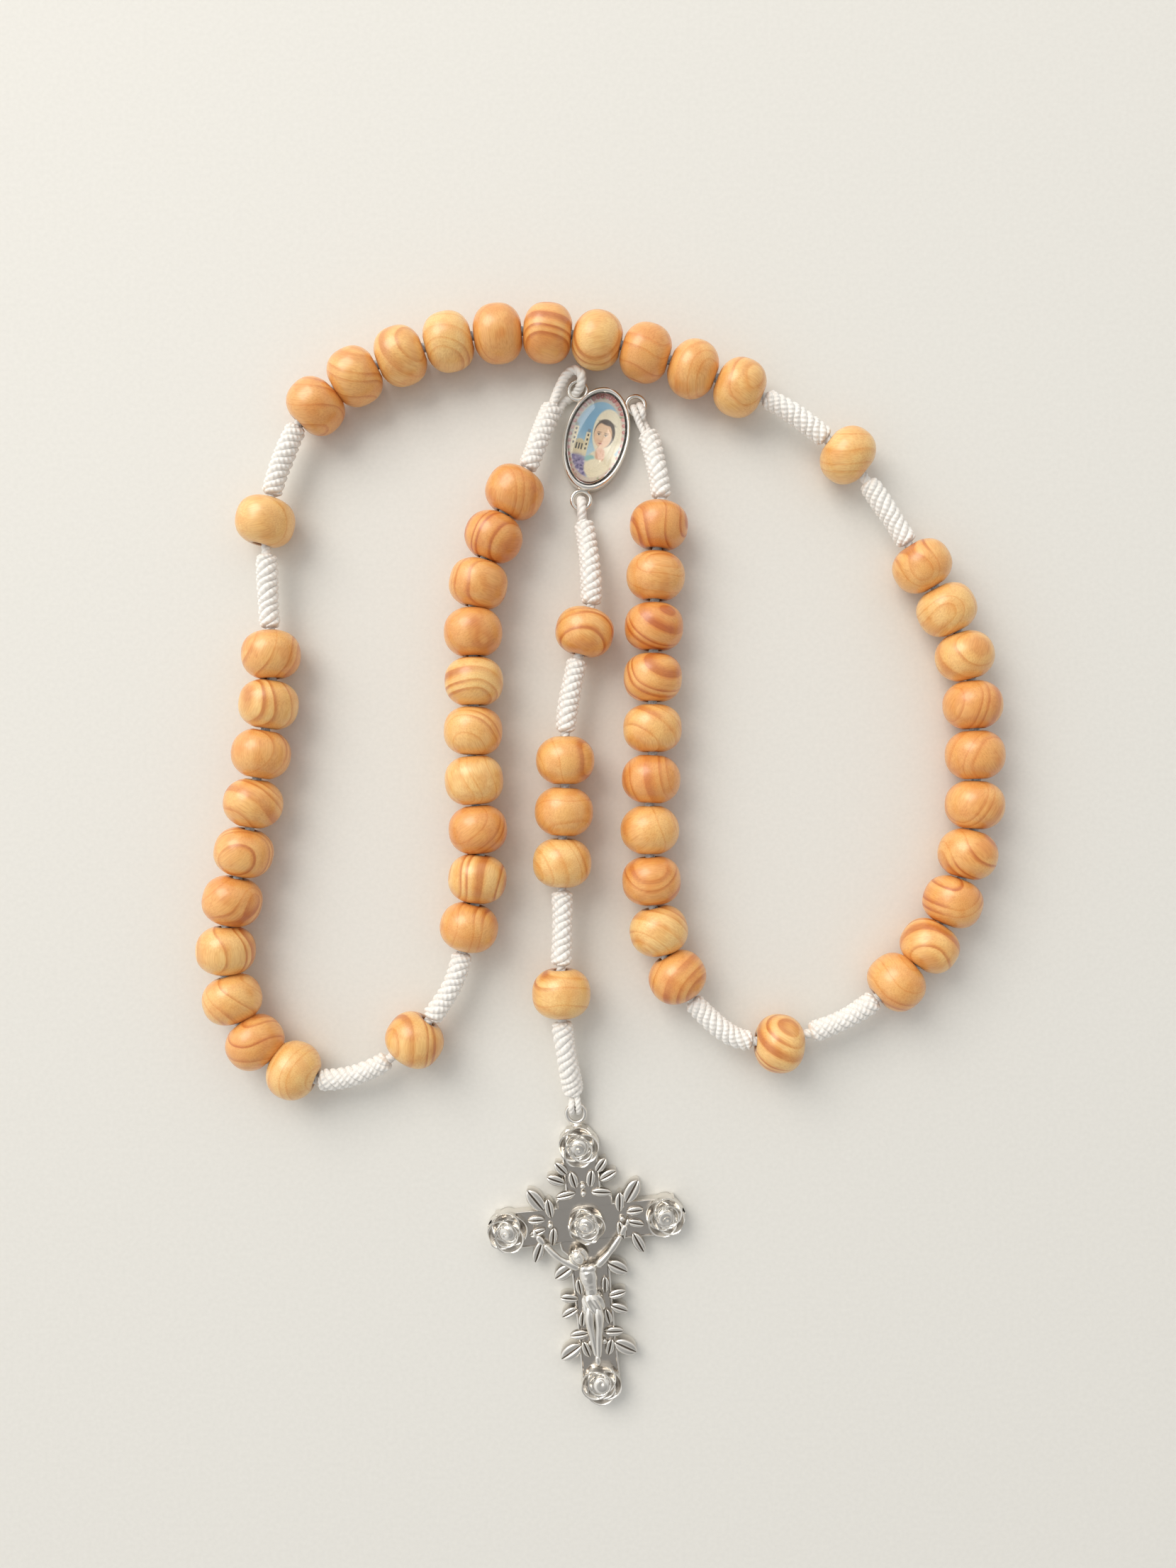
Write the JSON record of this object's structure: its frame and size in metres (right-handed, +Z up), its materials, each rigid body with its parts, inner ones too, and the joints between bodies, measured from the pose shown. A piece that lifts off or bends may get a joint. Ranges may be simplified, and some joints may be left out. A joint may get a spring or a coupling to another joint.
{
  "type": "rosary",
  "caption": "Rosary of honey-toned wooden beads on white twine with barrel knots, with an oval medal, a short pendant and a silver crucifix with roses, laid out flat.",
  "frame": {"origin": "on the table, under the middle of the layout's bounding box", "axes": "+X to the right and +Y towards the top decade as it lies, +Z up from the table"},
  "size_m": [0.1098, 0.1505, 0.008],
  "materials": {
    "wood": "clear gloss varnish on a pale, strongly figured softwood",
    "twine": "white twisted synthetic twine with a silky sheen",
    "silver": "bright silver plate on a cast zinc alloy, with darkened hollows",
    "print": "printed paper insert",
    "resin": "clear domed epoxy"
  },
  "bodies": {
    "inner_decades": {"decade_1_twine": "twine", "decade_1_beads_01_02": "wood", "decade_1_beads_09_10": "wood", "decade_5_twine": "twine", "decade_5_beads_01_02": "wood", "decade_5_beads_09_10": "wood"},
    "left_decade": {"decade_2_twine": "twine", "decade_2_beads_01_02": "wood", "decade_2_beads_09_10": "wood"},
    "top_decade": {"decade_3_twine": "twine", "decade_3_beads_01_02": "wood", "decade_3_beads_09_10": "wood"},
    "right_decade": {"decade_4_twine": "twine", "decade_4_beads_01_02": "wood", "decade_4_beads_09_10": "wood"},
    "medal": {"medal_frame": "silver", "medal_picture": "print", "medal_dome": "resin"},
    "pendant": {"pendant_twine": "twine"},
    "crucifix": {"crucifix": "silver"},
    "decade_1_bead_03": {"decade_1_bead_03": "wood"},
    "decade_1_bead_04": {"decade_1_bead_04": "wood"},
    "decade_1_bead_05": {"decade_1_bead_05": "wood"},
    "decade_1_bead_06": {"decade_1_bead_06": "wood"},
    "decade_1_bead_07": {"decade_1_bead_07": "wood"},
    "decade_1_bead_08": {"decade_1_bead_08": "wood"},
    "decade_2_bead_03": {"decade_2_bead_03": "wood"},
    "decade_2_bead_04": {"decade_2_bead_04": "wood"},
    "decade_2_bead_05": {"decade_2_bead_05": "wood"},
    "decade_2_bead_06": {"decade_2_bead_06": "wood"},
    "decade_2_bead_07": {"decade_2_bead_07": "wood"},
    "decade_2_bead_08": {"decade_2_bead_08": "wood"},
    "decade_3_bead_03": {"decade_3_bead_03": "wood"},
    "decade_3_bead_04": {"decade_3_bead_04": "wood"},
    "decade_3_bead_05": {"decade_3_bead_05": "wood"},
    "decade_3_bead_06": {"decade_3_bead_06": "wood"},
    "decade_3_bead_07": {"decade_3_bead_07": "wood"},
    "decade_3_bead_08": {"decade_3_bead_08": "wood"},
    "decade_4_bead_03": {"decade_4_bead_03": "wood"},
    "decade_4_bead_04": {"decade_4_bead_04": "wood"},
    "decade_4_bead_05": {"decade_4_bead_05": "wood"},
    "decade_4_bead_06": {"decade_4_bead_06": "wood"},
    "decade_4_bead_07": {"decade_4_bead_07": "wood"},
    "decade_4_bead_08": {"decade_4_bead_08": "wood"},
    "decade_5_bead_03": {"decade_5_bead_03": "wood"},
    "decade_5_bead_04": {"decade_5_bead_04": "wood"},
    "decade_5_bead_05": {"decade_5_bead_05": "wood"},
    "decade_5_bead_06": {"decade_5_bead_06": "wood"},
    "decade_5_bead_07": {"decade_5_bead_07": "wood"},
    "decade_5_bead_08": {"decade_5_bead_08": "wood"},
    "spacer_bead_1": {"spacer_bead_1": "wood"},
    "spacer_bead_2": {"spacer_bead_2": "wood"},
    "spacer_bead_3": {"spacer_bead_3": "wood"},
    "spacer_bead_4": {"spacer_bead_4": "wood"},
    "pendant_bead_1": {"pendant_bead_1": "wood"},
    "pendant_bead_2": {"pendant_bead_2": "wood"},
    "pendant_bead_3": {"pendant_bead_3": "wood"},
    "pendant_bead_4": {"pendant_bead_4": "wood"},
    "pendant_bead_5": {"pendant_bead_5": "wood"}
  },
  "joints": [
    {"name": "left_decade_lift", "type": "hinge", "parent": "inner_decades", "child": "left_decade", "pos_m": [-0.02528, -0.02429, 0.004], "axis": [-0.2767, 0.961, 0], "range_deg": [0, 90]},
    {"name": "top_decade_lift", "type": "hinge", "parent": "inner_decades", "child": "top_decade", "pos_m": [-0.04558, 0.04621, 0.004], "axis": [0.9936, 0.1129, 0], "range_deg": [0, 90]},
    {"name": "right_decade_lift", "type": "hinge", "parent": "inner_decades", "child": "right_decade", "pos_m": [0.02432, -0.02479, 0.004], "axis": [-0.1155, -0.9933, 0], "range_deg": [0, 90]},
    {"name": "medal_swing", "type": "hinge", "parent": "inner_decades", "child": "medal", "pos_m": [-0.00422, 0.06546, 0.0012], "axis": [-0.9285, 0.3713, 0], "range_deg": [0, 75]},
    {"name": "pendant_swing", "type": "hinge", "parent": "medal", "child": "pendant", "pos_m": [-0.00257, 0.04848, 0.0012], "axis": [-1, 0, 0], "range_deg": [0, 60]},
    {"name": "crucifix_swing", "type": "hinge", "parent": "pendant", "child": "crucifix", "pos_m": [-0.00338, -0.03499, 0.0013], "axis": [0, 0, 1], "range_deg": [-45, 45]},
    {"name": "decade_1_bead_03_spin", "type": "hinge", "parent": "inner_decades", "child": "decade_1_bead_03", "pos_m": [-0.01661, 0.03774, 0.004], "axis": [-0.2335, -0.9724, 0], "continuous": true},
    {"name": "decade_1_bead_04_spin", "type": "hinge", "parent": "inner_decades", "child": "decade_1_bead_04", "pos_m": [-0.01731, 0.03113, 0.004], "axis": [0.023, -0.9997, 0], "continuous": true},
    {"name": "decade_1_bead_05_spin", "type": "hinge", "parent": "inner_decades", "child": "decade_1_bead_05", "pos_m": [-0.01721, 0.02442, 0.004], "axis": [0.0091, -1, 0], "continuous": true},
    {"name": "decade_1_bead_06_spin", "type": "hinge", "parent": "inner_decades", "child": "decade_1_bead_06", "pos_m": [-0.01732, 0.01771, 0.004], "axis": [-0.0412, -0.9991, 0], "continuous": true},
    {"name": "decade_1_bead_07_spin", "type": "hinge", "parent": "inner_decades", "child": "decade_1_bead_07", "pos_m": [-0.0172, 0.011, 0.004], "axis": [0.0768, -0.9971, 0], "continuous": true},
    {"name": "decade_1_bead_08_spin", "type": "hinge", "parent": "inner_decades", "child": "decade_1_bead_08", "pos_m": [-0.01666, 0.0043, 0.004], "axis": [0.0826, -0.9966, 0], "continuous": true},
    {"name": "decade_2_bead_03_spin", "type": "hinge", "parent": "left_decade", "child": "decade_2_bead_03", "pos_m": [-0.05007, -0.01876, 0.004], "axis": [-0.283, 0.9591, 0], "continuous": true},
    {"name": "decade_2_bead_04_spin", "type": "hinge", "parent": "left_decade", "child": "decade_2_bead_04", "pos_m": [-0.05093, -0.01212, 0.004], "axis": [0.0285, 0.9996, 0], "continuous": true},
    {"name": "decade_2_bead_05_spin", "type": "hinge", "parent": "left_decade", "child": "decade_2_bead_05", "pos_m": [-0.05006, -0.00542, 0.004], "axis": [0.228, 0.9737, 0], "continuous": true},
    {"name": "decade_2_bead_06_spin", "type": "hinge", "parent": "left_decade", "child": "decade_2_bead_06", "pos_m": [-0.0485, 0.0012, 0.004], "axis": [0.2328, 0.9725, 0], "continuous": true},
    {"name": "decade_2_bead_07_spin", "type": "hinge", "parent": "left_decade", "child": "decade_2_bead_07", "pos_m": [-0.04721, 0.00788, 0.004], "axis": [0.1444, 0.9895, 0], "continuous": true},
    {"name": "decade_2_bead_08_spin", "type": "hinge", "parent": "left_decade", "child": "decade_2_bead_08", "pos_m": [-0.04615, 0.0146, 0.004], "axis": [0.1692, 0.9856, 0], "continuous": true},
    {"name": "decade_3_bead_03_spin", "type": "hinge", "parent": "top_decade", "child": "decade_3_bead_03", "pos_m": [-0.02719, 0.06868, 0.004], "axis": [0.94, 0.3412, 0], "continuous": true},
    {"name": "decade_3_bead_04_spin", "type": "hinge", "parent": "top_decade", "child": "decade_3_bead_04", "pos_m": [-0.02067, 0.07063, 0.004], "axis": [0.9729, 0.2312, 0], "continuous": true},
    {"name": "decade_3_bead_05_spin", "type": "hinge", "parent": "top_decade", "child": "decade_3_bead_05", "pos_m": [-0.01396, 0.07173, 0.004], "axis": [0.9958, 0.0915, 0], "continuous": true},
    {"name": "decade_3_bead_06_spin", "type": "hinge", "parent": "top_decade", "child": "decade_3_bead_06", "pos_m": [-0.00717, 0.0718, 0.004], "axis": [0.9973, -0.073, 0], "continuous": true},
    {"name": "decade_3_bead_07_spin", "type": "hinge", "parent": "top_decade", "child": "decade_3_bead_07", "pos_m": [-0.00045, 0.07083, 0.004], "axis": [0.9778, -0.2096, 0], "continuous": true},
    {"name": "decade_3_bead_08_spin", "type": "hinge", "parent": "top_decade", "child": "decade_3_bead_08", "pos_m": [0.00614, 0.06912, 0.004], "axis": [0.9559, -0.2936, 0], "continuous": true},
    {"name": "decade_4_bead_03_spin", "type": "hinge", "parent": "right_decade", "child": "decade_4_bead_03", "pos_m": [0.04951, 0.02791, 0.004], "axis": [0.2669, -0.9637, 0], "continuous": true},
    {"name": "decade_4_bead_04_spin", "type": "hinge", "parent": "right_decade", "child": "decade_4_bead_04", "pos_m": [0.05062, 0.02125, 0.004], "axis": [0.0583, -0.9983, 0], "continuous": true},
    {"name": "decade_4_bead_05_spin", "type": "hinge", "parent": "right_decade", "child": "decade_4_bead_05", "pos_m": [0.05092, 0.01445, 0.004], "axis": [0.0321, -0.9995, 0], "continuous": true},
    {"name": "decade_4_bead_06_spin", "type": "hinge", "parent": "right_decade", "child": "decade_4_bead_06", "pos_m": [0.05089, 0.00766, 0.004], "axis": [-0.0419, -0.9991, 0], "continuous": true},
    {"name": "decade_4_bead_07_spin", "type": "hinge", "parent": "right_decade", "child": "decade_4_bead_07", "pos_m": [0.04994, 0.00097, 0.004], "axis": [-0.2385, -0.9711, 0], "continuous": true},
    {"name": "decade_4_bead_08_spin", "type": "hinge", "parent": "right_decade", "child": "decade_4_bead_08", "pos_m": [0.04789, -0.0055, 0.004], "axis": [-0.3634, -0.9316, 0], "continuous": true},
    {"name": "decade_5_bead_03_spin", "type": "hinge", "parent": "inner_decades", "child": "decade_5_bead_03", "pos_m": [0.00693, -0.00264, 0.004], "axis": [-0.0617, 0.9981, 0], "continuous": true},
    {"name": "decade_5_bead_04_spin", "type": "hinge", "parent": "inner_decades", "child": "decade_5_bead_04", "pos_m": [0.0067, 0.00427, 0.004], "axis": [-0.0044, 1, 0], "continuous": true},
    {"name": "decade_5_bead_05_spin", "type": "hinge", "parent": "inner_decades", "child": "decade_5_bead_05", "pos_m": [0.00688, 0.01117, 0.004], "axis": [0.0552, 0.9985, 0], "continuous": true},
    {"name": "decade_5_bead_06_spin", "type": "hinge", "parent": "inner_decades", "child": "decade_5_bead_06", "pos_m": [0.00706, 0.01807, 0.004], "axis": [-0.0011, 1, 0], "continuous": true},
    {"name": "decade_5_bead_07_spin", "type": "hinge", "parent": "inner_decades", "child": "decade_5_bead_07", "pos_m": [0.00711, 0.02497, 0.004], "axis": [0.0156, 0.9999, 0], "continuous": true},
    {"name": "decade_5_bead_08_spin", "type": "hinge", "parent": "inner_decades", "child": "decade_5_bead_08", "pos_m": [0.00726, 0.03187, 0.004], "axis": [0.028, 0.9996, 0], "continuous": true},
    {"name": "spacer_bead_1_spin", "type": "hinge", "parent": "inner_decades", "child": "spacer_bead_1", "pos_m": [-0.02528, -0.02429, 0.004], "axis": [-0.5967, -0.8025, 0], "continuous": true},
    {"name": "spacer_bead_2_spin", "type": "hinge", "parent": "top_decade", "child": "spacer_bead_2", "pos_m": [-0.04558, 0.04621, 0.004], "axis": [0.2257, 0.9742, 0], "continuous": true},
    {"name": "spacer_bead_3_spin", "type": "hinge", "parent": "top_decade", "child": "spacer_bead_3", "pos_m": [0.03362, 0.05521, 0.004], "axis": [0.7913, -0.6115, 0], "continuous": true},
    {"name": "spacer_bead_4_spin", "type": "hinge", "parent": "inner_decades", "child": "spacer_bead_4", "pos_m": [0.02432, -0.02479, 0.004], "axis": [-0.9959, 0.0905, 0], "continuous": true},
    {"name": "pendant_bead_1_spin", "type": "hinge", "parent": "pendant", "child": "pendant_bead_1", "pos_m": [-0.00216, 0.03119, 0.00402], "axis": [-0.2346, -0.9721, -0.0045], "continuous": true},
    {"name": "pendant_bead_2_spin", "type": "hinge", "parent": "pendant", "child": "pendant_bead_2", "pos_m": [-0.00479, 0.01372, 0.004], "axis": [-0.0018, -1, 0], "continuous": true},
    {"name": "pendant_bead_3_spin", "type": "hinge", "parent": "pendant", "child": "pendant_bead_3", "pos_m": [-0.00497, 0.00675, 0.004], "axis": [-0.0487, -0.9988, 0], "continuous": true},
    {"name": "pendant_bead_4_spin", "type": "hinge", "parent": "pendant", "child": "pendant_bead_4", "pos_m": [-0.00522, -0.00022, 0.004], "axis": [-0.022, -0.9998, 0], "continuous": true},
    {"name": "pendant_bead_5_spin", "type": "hinge", "parent": "pendant", "child": "pendant_bead_5", "pos_m": [-0.00532, -0.01797, 0.00402], "axis": [0.0164, -0.9998, 0.0067], "continuous": true}
  ]
}
